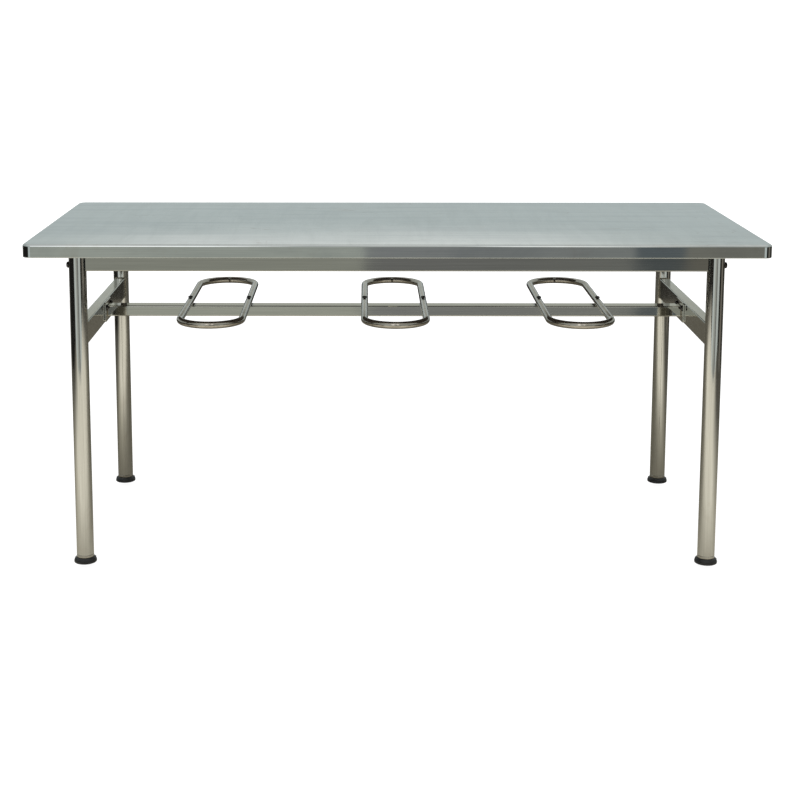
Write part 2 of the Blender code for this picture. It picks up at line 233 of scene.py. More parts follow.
# %% Camera
CAMERA_PLACE = (-0.0655, -3.650, 1.246)
CAMERA_TILT = 8.84  # degrees below the horizon
CAMERA_TURN = 0.30  # degrees to the left
FOCAL_LENGTH = 70.83
LENS_SHIFT = (0.0525, -0.20)

lens = bpy.data.cameras.new("catalogue_camera")
lens.lens = FOCAL_LENGTH
lens.sensor_width = 36.0
lens.shift_x, lens.shift_y = LENS_SHIFT
camera = placed("catalogue_camera", lens)
camera.location = CAMERA_PLACE
camera.rotation_euler = (radians(90 - CAMERA_TILT), 0.0, radians(CAMERA_TURN))
scene.camera = camera
scene.view_settings.view_transform = "Standard"
print("camera at", CAMERA_PLACE, "with", FOCAL_LENGTH, "mm")

# %% [markdown]
# ## The studio
#
# Polished steel has almost no colour of its own: what it reflects is what is seen. Screens and
# black cloths could stand round the table, but they would have to be lit and kept out of view.
# Here a room is painted on the world by direction instead, and it stays still when the camera
# walks round the table. In front stand two bright screens with grey between them and black
# cloth beside them. Behind is a pale wall with a lighter rail along it, and above is a white
# ceiling. Only reflections see this room. Every other ray sees plain white.

# %% The studio's low walls, by compass direction
# Each paint is followed by the directions it keeps between, in degrees from straight in front of
# the table towards its right end.
WALLS_LOW = (
    ("34322d", -180, -160), ("84837d", -150, -128), ("262523", -118, -42), ("dfe6e4", -36, -17),
    ("dde4e2", 17, 40), ("25241f", 45, 65), ("8a857c", 69, 92), ("2a2824", 97, 118),
    ("84837d", 128, 150), ("34322d", 160, 180),
)
# Straight ahead they have a ramp of their own: one ramp holds 256 shades, too few for sharp
# steps when it goes all the way round.
BETWEEN_SCREENS = (
    ("dfe6e4", -17), ("c0c3bb", -15, -0.12), ("989a9a", 0.02), ("98999a", 0.8), ("989a98", 9.75),
    ("6b7276", 9.9, 11.6), ("8b8981", 11.75, 14.5), ("dde4e2", 17),
)
print("low walls:", len(WALLS_LOW) + len(BETWEEN_SCREENS), "paints")

# %% The studio's walls above the horizon
WALLS_HIGH = (
    ("c2cccc", -180, -110), ("6a6c6a", -98, -62), ("e6eaea", -50, -2), ("8f918d", 2, 38),
    ("c6c8c4", 50), ("6a6c6a", 62, 98), ("c2cccc", 110, 180),
)
# Between the picture rail and the ceiling.
WALLS_UPPER = (
    ("858780", -180, -110), ("7c7e7a", -98, -62), ("a8abab", -50, -16), ("ffffff", -13, -7),
    ("9c9e9c", -3, 4), ("f0f0ee", 6, 10), ("8e908c", 13), ("8a8c88", 40), ("7c7e7a", 62, 98),
    ("858780", 110, 180),
)
PICTURE_RAIL = (
    ("f0f4f2", -180, -173), ("ccd4d2", -168, 168), ("f0f4f2", 174, 180),
)
PALE_WALL = "cfd6d5"
CEILING = "ffffff"
print("upper walls:", len(WALLS_HIGH) + len(WALLS_UPPER) + len(PICTURE_RAIL), "paints")

# %% Painting the room on the world
MIDDLE = 17  # degrees to either side of the front where the finer low wall ends
SIDES = (25, 35)  # degrees to either side of the front where the pale paint starts
# Degrees above the horizon where one band of paint passes into the next.
TO_HIGH, TO_RAIL, TO_UPPER, TO_PALE, TO_CEILING = (-3, 3), (8.2, 9.2), (9.5, 10.1), (13, 17), (38, 60)
UPPER_STRENGTH = 2.0
CEILING_STRENGTH = 0.95
PLAIN_STRENGTH = 1.35

world = bpy.data.worlds.new("studio")
world.use_nodes = True
sky = world.node_tree
sky.nodes.clear()
direction = node(sky, "ShaderNodeTexCoord")
axes = node(sky, "ShaderNodeSeparateXYZ", {0: direction.outputs["Generated"]})
ahead = node(sky, "ShaderNodeMath", {0: axes.outputs["Y"], 1: -1.0}, operation="MULTIPLY")
compass = node(sky, "ShaderNodeMath", {0: axes.outputs["X"], 1: ahead.outputs[0]}, operation="ARCTAN2")
off_middle = node(sky, "ShaderNodeMath", {0: compass.outputs[0]}, operation="ABSOLUTE")


def wall(paints):
    """The colour of one wall by compass direction, blended where two paints meet."""
    stops = [(angle, code) for code, *angles in paints for angle in angles]
    first, last = stops[0][0], stops[-1][0]
    limits = {"Value": compass.outputs[0], "From Min": radians(first), "From Max": radians(last)}
    turn = node(sky, "ShaderNodeMapRange", limits)
    shades = [((angle - first) / (last - first), code) for angle, code in stops]
    return ramp_colours(node(sky, "ShaderNodeValToRGB", {"Fac": turn.outputs["Result"]}), shades)


def rise(low, high):
    """0 below one height above the horizon and 1 above another, both in degrees."""
    limits = {"Value": axes.outputs["Z"], "From Min": sin(radians(low)), "From Max": sin(radians(high))}
    return node(sky, "ShaderNodeMapRange", limits, interpolation_type="SMOOTHSTEP").outputs["Result"]


straight = node(sky, "ShaderNodeMath", {0: off_middle.outputs[0], 1: radians(MIDDLE)}, operation="LESS_THAN")
side_limits = {"Value": off_middle.outputs[0], "From Min": radians(SIDES[0]), "From Max": radians(SIDES[1])}
sideways = node(sky, "ShaderNodeMapRange", side_limits)
pale_share = node(sky, "ShaderNodeMath", {0: rise(*TO_PALE), 1: sideways.outputs[0]}, operation="MULTIPLY")
twice = {0: 1.0, 6: wall(WALLS_UPPER), 7: (UPPER_STRENGTH, UPPER_STRENGTH, UPPER_STRENGTH, 1.0)}
upper_walls = node(sky, "ShaderNodeMix", twice, data_type="RGBA", blend_type="MULTIPLY")
bands = (
    (straight.outputs[0], wall(BETWEEN_SCREENS)),
    (rise(*TO_HIGH), wall(WALLS_HIGH)),
    (rise(*TO_RAIL), wall(PICTURE_RAIL)),
    (rise(*TO_UPPER), upper_walls.outputs[2]),
    (pale_share.outputs[0], colour(PALE_WALL)),
    (rise(*TO_CEILING), tuple(c * CEILING_STRENGTH for c in colour(CEILING))),
)
room = wall(WALLS_LOW)
for share, paint in bands:
    room = node(sky, "ShaderNodeMix", {0: share, 6: room, 7: paint}, data_type="RGBA").outputs[2]

reflected = node(sky, "ShaderNodeLightPath").outputs["Is Glossy Ray"]
plain = node(sky, "ShaderNodeBackground", {"Color": colour("ffffff"), "Strength": PLAIN_STRENGTH})
painted = node(sky, "ShaderNodeBackground", {"Color": room, "Strength": 1.0})
choice = node(sky, "ShaderNodeMixShader", {0: reflected, 1: plain.outputs[0], 2: painted.outputs[0]})
node(sky, "ShaderNodeOutputWorld", {"Surface": choice.outputs[0]})
scene.world = world
world.cycles.sampling_method = "NONE"
print("studio painted in", 1 + len(bands), "bands")

# %% [markdown]
# ## The floor and the lamps
#
# A catalogue table often stands on a lit sheet of white acrylic, which leaves almost no shadow.
# A plane with a share of its own light does the same. What the steel mirrors of the floor is
# warmer and darker: painted shade under and behind the table, painted light in front, and painted
# shade at the far sides.
# Two soft lamps add some direction to the light. They are hidden from reflections, where they
# would show as hard white squares.

# %% The floor
FLOOR_FRONT = 2.1
FLOOR_SIZE = (5.2, 4.9)
FLOOR_CORNER = 0.6
FLOOR_Z = -0.0125  # so that feet screwed right out, 12 mm lower, still stand on top of it
GLOW_SHARE, GLOW_STRENGTH = 0.85, 1.1
MIRRORED_SHADE_BACK, MIRRORED_LIGHT_FRONT = 1.2, -1.6  # metres along Y where the painted shade behind the table starts and the painted light in front ends
# The mirrored floor's colours from behind to in front: painted shade under and behind the table, painted light in
# front.
MIRRORED_SHADE_RAMP = ((0.0, "545148"), (0.3, "6f6b60"), (0.5, "a6a193"), (0.7, "d4cfc2"), (1.0, "ccc7ba"))
SHADED_SIDES = (1.25, 2.2)  # metres to either side of their middle where the mirrored floor turns dark with painted shade
SHADED_SIDES_MIDDLE = -0.2
SIDE_SHADE_PAINT = "4e4c46"

half_width, half_depth = FLOOR_SIZE[0] / 2, FLOOR_SIZE[1] / 2
floor_outline = rounded(half_width, half_depth, FLOOR_CORNER, 12)
floor_points = [Vector((a, b + half_depth - FLOOR_FRONT, FLOOR_Z)) for a, b in floor_outline]
floor_mesh = bpy.data.meshes.new("floor")
floor_mesh.from_pydata(floor_points, [], [list(range(len(floor_points)))])
floor = placed("floor", floor_mesh)
print("floor", FLOOR_SIZE, "m")

# %% The floor's finish
floor_finish = bpy.data.materials.new("white_studio_floor")
floor_finish.use_nodes = True
acrylic = floor_finish.node_tree
acrylic.nodes.clear()
seen = node(acrylic, "ShaderNodeBsdfDiffuse", {"Color": colour("ffffff")})
glow = node(acrylic, "ShaderNodeEmission", {"Color": colour("ffffff"), "Strength": GLOW_STRENGTH})
lit = node(acrylic, "ShaderNodeMixShader", {0: GLOW_SHARE, 1: seen.outputs[0], 2: glow.outputs[0]})
spot = node(acrylic, "ShaderNodeSeparateXYZ", {0: node(acrylic, "ShaderNodeTexCoord").outputs["Object"]})
# Painted shade and light: what the steel mirrors of the floor is dark behind and under the table and pale in front.
mirrored_shade_limits = {"Value": spot.outputs["Y"], "From Min": MIRRORED_SHADE_BACK, "From Max": MIRRORED_LIGHT_FRONT}
forward = node(acrylic, "ShaderNodeMapRange", mirrored_shade_limits)
mirrored_shade_ramp = node(acrylic, "ShaderNodeValToRGB", {"Fac": forward.outputs[0]})
mirrored_shade_and_light = ramp_colours(mirrored_shade_ramp, MIRRORED_SHADE_RAMP)
# Painted shade: the mirrored floor turns dark towards the far sides.
off_centre = node(acrylic, "ShaderNodeMath", {0: spot.outputs["X"], 1: -SHADED_SIDES_MIDDLE}, operation="ADD")
aside = node(acrylic, "ShaderNodeMath", {0: off_centre.outputs[0]}, operation="ABSOLUTE")
side_limits = {"Value": aside.outputs[0], "From Min": SHADED_SIDES[0], "From Max": SHADED_SIDES[1]}
edges = node(acrylic, "ShaderNodeMapRange", side_limits)
shaded = {0: edges.outputs[0], 6: mirrored_shade_and_light, 7: colour(SIDE_SHADE_PAINT)}
darker = node(acrylic, "ShaderNodeMix", shaded, data_type="RGBA")
mirrored = node(acrylic, "ShaderNodeBsdfDiffuse", {"Color": darker.outputs[2]})
in_mirror = node(acrylic, "ShaderNodeLightPath").outputs["Is Glossy Ray"]
either = node(acrylic, "ShaderNodeMixShader", {0: in_mirror, 1: lit.outputs[0], 2: mirrored.outputs[0]})
node(acrylic, "ShaderNodeOutputMaterial", {"Surface": either.outputs[0]})
floor_mesh.materials.append(floor_finish)
print("floor finish:", floor_finish.name)

# %% The lamps
LAMPS = {  # place, what it points at, size in metres, power in watts
    "ceiling_softbox": ((0.2, 0.1, 3.0), (0, 0, 0), (3.6, 2.8), 60),
    "front_softbox": ((-1.6, -3.4, 2.6), (0, 0, 0.4), (1.6, 1.6), 25),
}
for name, (lamp_place, aim, size, power) in LAMPS.items():
    light = bpy.data.lights.new(name, "AREA")
    light.shape = "RECTANGLE"
    light.size, light.size_y = size
    light.energy = power
    lamp = placed(name, light)
    lamp.location = lamp_place
    lamp.rotation_euler = (Vector(aim) - Vector(lamp_place)).to_track_quat("-Z", "Y").to_euler()
    lamp.visible_glossy = False
print("lamps:", len(LAMPS))

# %% [markdown]
# ## Stainless steel
#
# All the metal that shows is stainless steel, grade 201 or 304, and only its surface differs. The
# top is cold-rolled sheet ground with a belt, so it has long fine lines. The tubes are buffed to
# a near mirror, and still carry faint lines along their length. Hands, wiping and storage leave
# cloudy patches where the reflection is duller, and the top has wiped streaks, soft blots and
# thin brown scuffs. An image of scratches would do for one side, but noise stretched along the
# grain covers every side at the right scale.

# %% Marks on the top
TOP_SKIN = (0.7205, 0.7215)  # heights between which the marks of the flat top fade in
STREAK_PAINT, BLOT_PAINT, SCUFF_PAINT = "8f969a", "939997", "7e6f62"
BLOT_SHARE, SCUFF_SHARE = 0.6, 0.5
SCUFF_WIDTH = 0.008  # how far the noise may be from its middle and still draw a scuff
PATTERNS = (  # how the noise is squeezed along each axis, and its settings
    ((2.2, 26.0, 4.0), {"Scale": 1.0, "Detail": 6.0, "Roughness": 0.62, "Distortion": 0.5}),
    ((24.0, 3.0, 4.0), {"Scale": 1.0, "Detail": 5.0, "Roughness": 0.7, "Distortion": 0.8}),
    ((1.5, 3.4, 1.0), {"Scale": 1.6, "Detail": 3.0, "Roughness": 0.5, "Distortion": 2.2}),
)


def top_marks(tree, place, shade, amount):
    """Wiped streaks all over, and blots and thin curled scuffs on the flat of the top."""
    noises = []
    for squeeze, settings in PATTERNS:
        squeezed = node(tree, "ShaderNodeMapping", {"Vector": place, "Scale": squeeze}).outputs[0]
        noises.append(node(tree, "ShaderNodeTexNoise", {"Vector": squeezed, **settings}).outputs["Fac"])
    wiped, blotted, curled = noises
    level = node(tree, "ShaderNodeSeparateXYZ", {0: place}).outputs["Z"]
    off = node(tree, "ShaderNodeMath", {0: curled, 1: 0.5}, operation="SUBTRACT").outputs[0]
    off = node(tree, "ShaderNodeMath", {0: off}, operation="ABSOLUTE").outputs[0]
    broken = node(tree, "ShaderNodeTexNoise", {"Vector": place, "Scale": 5.0, "Detail": 2.0}).outputs["Fac"]
    shares = []
    for value, low, high, at_low, at_high in (
        (wiped, 0.46, 0.72, 0.0, amount),
        (level, *TOP_SKIN, 0.0, 1.0),
        (blotted, 0.44, 0.70, 0.0, amount * BLOT_SHARE),
        (off, 0.0, SCUFF_WIDTH, 1.0, 0.0),
        (broken, 0.52, 0.62, 0.0, SCUFF_SHARE),
    ):
        limits = {"Value": value, "From Min": low, "From Max": high, "To Min": at_low, "To Max": at_high}
        shares.append(node(tree, "ShaderNodeMapRange", limits).outputs[0])
    wipe, on_top, blot, thin, kept = shares
    scuff = node(tree, "ShaderNodeMath", {0: thin, 1: kept}, operation="MULTIPLY").outputs[0]
    blot = node(tree, "ShaderNodeMath", {0: blot, 1: on_top}, operation="MULTIPLY").outputs[0]
    scuff = node(tree, "ShaderNodeMath", {0: scuff, 1: on_top}, operation="MULTIPLY").outputs[0]
    for share, code in ((wipe, STREAK_PAINT), (blot, BLOT_PAINT), (scuff, SCUFF_PAINT)):
        shade = node(tree, "ShaderNodeMix", {0: share, 6: shade, 7: colour(code)}, data_type="RGBA").outputs[2]
    return shade


# %% A stainless finish
def blank_finish(name):
    """A new material, its node tree and its one shader."""
    made = bpy.data.materials.new(name)
    made.use_nodes = True
    return made, made.node_tree, made.node_tree.nodes["Principled BSDF"]


def connect(tree, shader, **sockets):
    """Feeds the shader's inputs. Where a label has a space, the name here has an underscore."""
    for label, socket in sockets.items():
        tree.links.new(socket, shader.inputs[label.replace("_", " ")])


def steel(name, base, gloss, grain, depth, clouds, stain=None, stained=0.0, waviness=0.0, marks=0.0):
    """Brightest where the grain is raised, and duller in clouds.

    base is the colour in and between the lines, gloss the roughness where clean and where dull,
    grain the lines in a metre along each axis, depth their height, and clouds the size of a patch.
    """
    made, tree, shader = blank_finish(name)
    shader.inputs["Metallic"].default_value = 1.0
    place = node(tree, "ShaderNodeTexCoord").outputs["Object"]
    stretched = node(tree, "ShaderNodeMapping", {"Vector": place, "Scale": grain}).outputs[0]
    line_settings = {"Vector": stretched, "Scale": 1.0, "Detail": 4.0, "Roughness": 0.65}
    lines = node(tree, "ShaderNodeTexNoise", line_settings).outputs["Fac"]
    cloud_settings = {"Vector": place, "Scale": 1 / clouds, "Detail": 5.0, "Roughness": 0.6, "Distortion": 0.4}
    cloudy = node(tree, "ShaderNodeTexNoise", cloud_settings).outputs["Fac"]
    dulled = {"Value": cloudy, "From Min": 0.35, "From Max": 0.7, "To Min": gloss[0], "To Max": gloss[1]}
    dulled = node(tree, "ShaderNodeMapRange", dulled).outputs[0]
    sway = gloss[0] / 3
    streaks = {"Value": lines, "From Min": 0.3, "From Max": 0.7, "To Min": -sway, "To Max": sway}
    streaks = node(tree, "ShaderNodeMapRange", streaks).outputs[0]
    rough = node(tree, "ShaderNodeMath", {0: dulled, 1: streaks}, operation="ADD", use_clamp=True)
    line_ramp = node(tree, "ShaderNodeValToRGB", {"Fac": lines})
    shade = ramp_colours(line_ramp, ((0.30, base[0]), (0.70, base[1])))
    if marks:
        shade = top_marks(tree, place, shade, marks)
    if stain:
        patch = {"Vector": place, "Scale": 7.0, "Detail": 9.0, "Roughness": 0.72, "Distortion": 1.6}
        patches = node(tree, "ShaderNodeTexNoise", patch).outputs["Fac"]
        where = {"Value": patches, "From Min": 0.56, "From Max": 0.74, "To Min": 0.0, "To Max": stained}
        where = node(tree, "ShaderNodeMapRange", where).outputs[0]
        shade = node(tree, "ShaderNodeMix", {0: where, 6: shade, 7: colour(stain)}, data_type="RGBA").outputs[2]
    bump = node(tree, "ShaderNodeBump", {"Height": lines, "Distance": depth, "Strength": 0.6})
    if waviness:
        broad = {"Vector": place, "Scale": 3.2, "Detail": 1.0, "Roughness": 0.4}
        broad = node(tree, "ShaderNodeTexNoise", broad).outputs["Fac"]
        swelling = {"Height": broad, "Distance": waviness, "Strength": 1.0}
        tree.links.new(node(tree, "ShaderNodeBump", swelling).outputs[0], bump.inputs["Normal"])
    connect(tree, shader, Base_Color=shade, Roughness=rough.outputs[0], Normal=bump.outputs[0])
    print("finish:", name)
    return made


# %% The finishes of the sheet and the tubes
# Grain is drawn near 2 mm apart, ten times as coarse as belt grit leaves it, so that it shows.
ALONG_X, ALONG_Y, ALONG_Z = (5, 420, 420), (420, 5, 420), (520, 520, 4)
MICRON = 0.000001
# The top rails get a darker copy of the buffed colours: painted shade of the top's flange over them.
BUFFED, SHADED_BUFFED = ("b2b2ab", "c4c4bd"), ("9b9b95", "aaaaa4")

SHEET_MARKS = {"stain": "a39b90", "stained": 0.30, "waviness": 0.0003, "marks": 0.6}
SHEET_BASE, SHEET_GRAIN = ("b4b8b6", "c4c8c6"), (4, 480, 480)
sheet_steel = steel(
    "belt_ground_stainless_sheet", SHEET_BASE, (0.02, 0.05), SHEET_GRAIN, 4 * MICRON, 0.11, **SHEET_MARKS
)
rail_steel_x = steel(
    "buffed_stainless_rail_along", BUFFED, (0.03, 0.07), ALONG_X, 4 * MICRON, 0.06, waviness=0.0003
)
# A darker copy of the buffed rail finish: painted shade under the top's flange.
shaded_top_rail_steel = steel(
    "buffed_stainless_top_rail_painted_shade", SHADED_BUFFED, (0.03, 0.06), ALONG_X, 4 * MICRON, 0.06, waviness=0.0002
)
rail_steel_y = steel(
    "buffed_stainless_rail_across", BUFFED, (0.08, 0.14), ALONG_Y, 4 * MICRON, 0.06, waviness=0.0003
)
leg_steel = steel(
    "buffed_stainless_leg_tube", ("b4b4af", "c8c8c3"), (0.05, 0.12), ALONG_Z, 4 * MICRON, 0.05, "8d7d68", 0.18
)
loop_steel = steel(
    "polished_stainless_bent_tube", ("948f86", "b0aba1"), (0.08, 0.20), (60,) * 3, 12 * MICRON, 0.03, "5d564b", 0.35
)

# %% The finishes of the small steel parts
bolt_steel = steel(
    "blackened_steel_bolt", ("3c3a38", "54524f"), (0.24, 0.36), (700,) * 3, 10 * MICRON, 0.01
)
insert_steel = steel(
    "turned_stainless_insert", ("a3a19a", "bab8b1"), (0.14, 0.24), (40, 40, 1400), 6 * MICRON, 0.02
)
weld_steel = steel(
    "heat_tinted_weld", ("8f8570", "bdb8a8"), (0.22, 0.38), (300,) * 3, 30 * MICRON, 0.01, "5c6472", 0.5
)
zinc_steel = steel(
    "zinc_plated_steel", ("a4a8aa", "b9bdbf"), (0.26, 0.42), (260,) * 3, 10 * MICRON, 0.012, "b7ab7c", 0.3
)

# %% [markdown]
# ## Moulded plastic and board
#
# The feet are injection-moulded black polypropylene: nearly black, softly shiny, with the fine
# spark-eroded grain of the mould. The board under the top is particle board faced with dark
# brown resin film against damp, and the chips pressed under the film still show through it.

# %% Black plastic
foot_plastic, mould, plastic = blank_finish("moulded_black_polypropylene")
plastic.inputs["IOR"].default_value = 1.49
mould_place = node(mould, "ShaderNodeTexCoord").outputs["Object"]
grain = node(mould, "ShaderNodeTexNoise", {"Vector": mould_place, "Scale": 900.0, "Detail": 2.0})
dust = node(mould, "ShaderNodeTexNoise", {"Vector": mould_place, "Scale": 70.0, "Detail": 5.0})
blacks = ((0.40, "08090a"), (0.72, "1b1b1a"))
dusty = ramp_colours(node(mould, "ShaderNodeValToRGB", {"Fac": dust.outputs["Fac"]}), blacks)
worn = node(mould, "ShaderNodeMapRange", {"Value": dust.outputs["Fac"], "To Min": 0.36, "To Max": 0.60})
pits = node(mould, "ShaderNodeBump", {"Height": grain.outputs["Fac"], "Distance": 0.0001, "Strength": 0.5})
connect(mould, plastic, Base_Color=dusty, Roughness=worn.outputs[0], Normal=pits.outputs[0])
print("finish:", foot_plastic.name)

# %% The core board
board, press, film = blank_finish("film_faced_particle_board")
film.inputs["IOR"].default_value = 1.45
board_place = node(press, "ShaderNodeTexCoord").outputs["Object"]
flat = node(press, "ShaderNodeMapping", {"Vector": board_place, "Scale": (120, 70, 400)}).outputs[0]
chips = node(press, "ShaderNodeTexVoronoi", {"Vector": flat, "Scale": 1.0, "Randomness": 1.0})
fibres = node(press, "ShaderNodeTexNoise", {"Vector": flat, "Scale": 2.5, "Detail": 5.0, "Roughness": 0.7})
chip_value = node(press, "ShaderNodeSeparateColor", {0: chips.outputs["Color"]}).outputs[0]
mixed = node(press, "ShaderNodeMath", {0: chip_value, 1: fibres.outputs["Fac"]}, operation="MULTIPLY")
browns = ((0.05, "2e2a26"), (0.3, "443d36"), (0.6, "5a5148"))
wood = ramp_colours(node(press, "ShaderNodeValToRGB", {"Fac": mixed.outputs[0]}), browns)
raised = node(press, "ShaderNodeBump", {"Height": mixed.outputs[0], "Distance": 0.0003, "Strength": 0.4})
sealed = node(press, "ShaderNodeMapRange", {"Value": fibres.outputs["Fac"], "To Min": 0.5, "To Max": 0.8})
connect(press, film, Base_Color=wood, Roughness=sealed.outputs[0], Normal=raised.outputs[0])
print("finish:", board.name)

# %% [markdown]
# ## The pressed top
#
# The top is one sheet of stainless, about a millimetre thick. A press turns its edge down over
# a small roll into an upright flange, folds a lip back underneath, and rounds the four corners.
# Rings of a rounded rectangle follow that section, outside first and then back inside, so
# that the sheet has a real thickness wherever it is seen.

# %% The pressed top sheet
SHEET = 0.001
TOP_CORNER = 0.020
ROLL = 0.005
FOLD = 0.0018
LIP = 0.015
CORNER_STEPS = 20
ROLL_STEPS = 10
FLAT_MARGIN = 0.004
TIGHTEST_CORNER = 0.004
FOLD_STEPS, TIGHTEST_FOLD = 4, 0.0006

top_low, top_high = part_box("top_sheet")
HALF_LENGTH, HALF_DEPTH, TOP_Z = top_high.x, top_high.y, top_high.z
FLANGE_FOOT = top_low.z


def pan_section(thickness):
    """(inset, height) over the roll and down to the lip, at a depth inside the sheet."""
    roll, fold = ROLL - thickness, max(FOLD - thickness, TIGHTEST_FOLD)
    section = [(ROLL + FLAT_MARGIN, TOP_Z - thickness)]
    for i in range(ROLL_STEPS + 1):
        a = pi / 2 * i / ROLL_STEPS
        section.append((ROLL - roll * sin(a), TOP_Z - ROLL + roll * cos(a)))
    for i in range(FOLD_STEPS + 1):
        a = pi / 2 * i / FOLD_STEPS
        section.append((thickness + fold - fold * cos(a), FLANGE_FOOT + thickness + fold - fold * sin(a)))
    section.append((LIP, FLANGE_FOOT + thickness))
    return section


def pan_ring(inset, height):
    radius = max(TOP_CORNER - inset, TIGHTEST_CORNER)
    outline = rounded(HALF_LENGTH - inset, HALF_DEPTH - inset, radius, CORNER_STEPS)
    return [Vector((a, b, height)) for a, b in outline]


sheet_rings = [pan_ring(*p) for p in pan_section(0.0) + pan_section(SHEET)[::-1]]
piece("pressed_top", smoothed(skin(sheet_rings), 50), sheet_steel, nodes=["top_sheet"])

# %% The board that backs it
core_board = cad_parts["top_core_board"].data
core_board.materials.clear()
core_board.materials.append(board)
print("core board finished in", board.name)

# %% [markdown]
# ## Rails
#
# Rails are drawn box tube with a small corner radius. The end rails are hollowed at both ends to
# sit against the round legs. Each tube here is two skins, outer and inner, joined at the ends,
# and a cylinder a touch wider than the leg is cut out of it.

# %% Box tubes
TUBE_WALL = 0.0012
TUBE_CORNER, TUBE_INNER_CORNER = 0.0026, 0.0008
LEG_GAP = 0.0006
CUT_PAST = 0.01  # how far a cutter goes on past what it cuts


def middle_of(name):
    """The middle of a CAD node's box, and half its size."""
    low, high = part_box(name)
    return (low + high) / 2, (high - low) / 2


def box_tube(name, axis):
    """An open-ended tube that fills a CAD rail's box, along X (0) or Y (1)."""
    middle, half = middle_of(name)
    across = 1 - axis
    rings = []
    for wall_in, ends in ((0.0, (-1, 1)), (TUBE_WALL, (1, -1))):
        corner = max(TUBE_CORNER - wall_in, TUBE_INNER_CORNER)
        outline = rounded(half[across] - wall_in, half.z - wall_in, corner, 5)
        for end in ends:
            ring = []
            for a, b in outline:
                point = Vector((0.0, 0.0, middle.z + b))
                point[axis] = middle[axis] + end * half[axis]
                point[across] = middle[across] + a
                ring.append(point)
            rings.append(ring)
    return skin(rings, wrap=True)


ROWS, ENDS = ("front", "rear"), ("left", "right")
LEGS = [f"{row}_{side}_leg" for row in ROWS for side in ENDS]
LEG_SIDES = 64
leg_low, leg_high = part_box("front_left_leg")
LEG_RADIUS = (leg_high.x - leg_low.x) / 2
print("leg radius", round(LEG_RADIUS, 4))


def cope_cutters(side, low, high):
    """Cylinders round the two legs of one end of the table."""
    radius = LEG_RADIUS + LEG_GAP
    column = [(0, low), (radius, low), (radius, high), (0, high)]
    centres = [middle_of(f"{row}_{side}_leg")[0] for row in ROWS]
    return [turned(column, LEG_SIDES, (c.x, c.y, 0)) for c in centres]


straight_tubes = (
    ("front_top_rail", 0, shaded_top_rail_steel),
    ("rear_top_rail", 0, shaded_top_rail_steel),
    ("stretcher", 0, rail_steel_x),
    ("centre_bearer", 1, rail_steel_y),
)
for name, axis, finish in straight_tubes:
    piece(f"{name}_tube", smoothed(box_tube(name, axis)), finish, nodes=[name])
for side in ENDS:
    for kind in ("end_rail", "top_end_rail"):
        name = f"{side}_{kind}"
        low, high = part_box(name)
        coped = cut(box_tube(name, 1), cope_cutters(side, low.z - CUT_PAST, high.z + CUT_PAST))
        piece(f"{name}_tube", smoothed(coped), rail_steel_y, nodes=[name])

# %% [markdown]
# ## Legs
#
# The legs are round welded tube, 38 mm across. Sixty-four sides keep their outline round in a
# close view. A turned insert is pressed into each lower end, and its collar shows as a thin band
# between the tube and the foot.

# %% Leg tubes
LEG_EDGE = 0.0004
leg_profile = [
    (LEG_RADIUS, leg_high.z),
    (LEG_RADIUS, leg_low.z + LEG_EDGE),
    (LEG_RADIUS - LEG_EDGE, leg_low.z),
    (LEG_RADIUS - TUBE_WALL, leg_low.z),
    (LEG_RADIUS - TUBE_WALL, leg_high.z),
]
BOLT_Z = middle_of("front_left_leg_bolt")[0].z
BOLT_HOLE = 0.0045


def drill(reach, spot):
    """A cylinder along X that cuts a bolt hole, as far to either side of the spot as its reach."""
    mesh = turned([(0, -reach), (BOLT_HOLE, -reach), (BOLT_HOLE, reach), (0, reach)], 24, (0, 0, 0))
    mesh.transform(Matrix.Translation(spot) @ Matrix.Rotation(pi / 2, 4, "Y"))
    return mesh


for leg in LEGS:
    centre = middle_of(leg)[0]
    tube = turned(leg_profile, LEG_SIDES, (centre.x, centre.y, 0), wrap=True)
    tube = cut(tube, [drill(0.03, (centre.x, centre.y, BOLT_Z))])
    piece(f"{leg}_tube", smoothed(tube, 40), leg_steel, nodes=[leg])

# %% Leg inserts
insert_low, insert_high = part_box("front_left_leg_insert")
INSERT_BORE = 0.0055
INSERT_EDGE = 0.0003
INSERT_SHANK = LEG_RADIUS - TUBE_WALL - 0.0005
INSERT_BAND = leg_low.z - INSERT_EDGE
insert_profile = [
    (INSERT_BORE, insert_high.z),
    (INSERT_SHANK, insert_high.z),
    (INSERT_SHANK, INSERT_BAND),
    (LEG_RADIUS - INSERT_EDGE, INSERT_BAND),
    (LEG_RADIUS, INSERT_BAND - INSERT_EDGE),
    (LEG_RADIUS, insert_low.z + 0.0012),
    (LEG_RADIUS - 0.0004, insert_low.z + 0.0004),
    (LEG_RADIUS - 0.0012, insert_low.z),
    (INSERT_BORE, insert_low.z),
]
for leg in LEGS:
    centre = middle_of(leg)[0]
    insert = smoothed(turned(insert_profile, LEG_SIDES, (centre.x, centre.y, 0), wrap=True), 40)
    piece(f"{leg}_insert_turned", insert, insert_steel, nodes=[f"{leg}_insert"])

# %% [markdown]
# ## Geometry Nodes for what follows a rule
#
# The stool loops are one round tube bent to a flat outline, so their shape is a rule: a rectangle
# with its corners filleted to half its width, swept by a circle. The same small builder makes the
# trees for the screw threads, the ribs on the feet, the weld beads and the sets of bolts.

# %% Building and running a node tree
SOCKETS = {float: "NodeSocketFloat", int: "NodeSocketInt", tuple: "NodeSocketVector"}


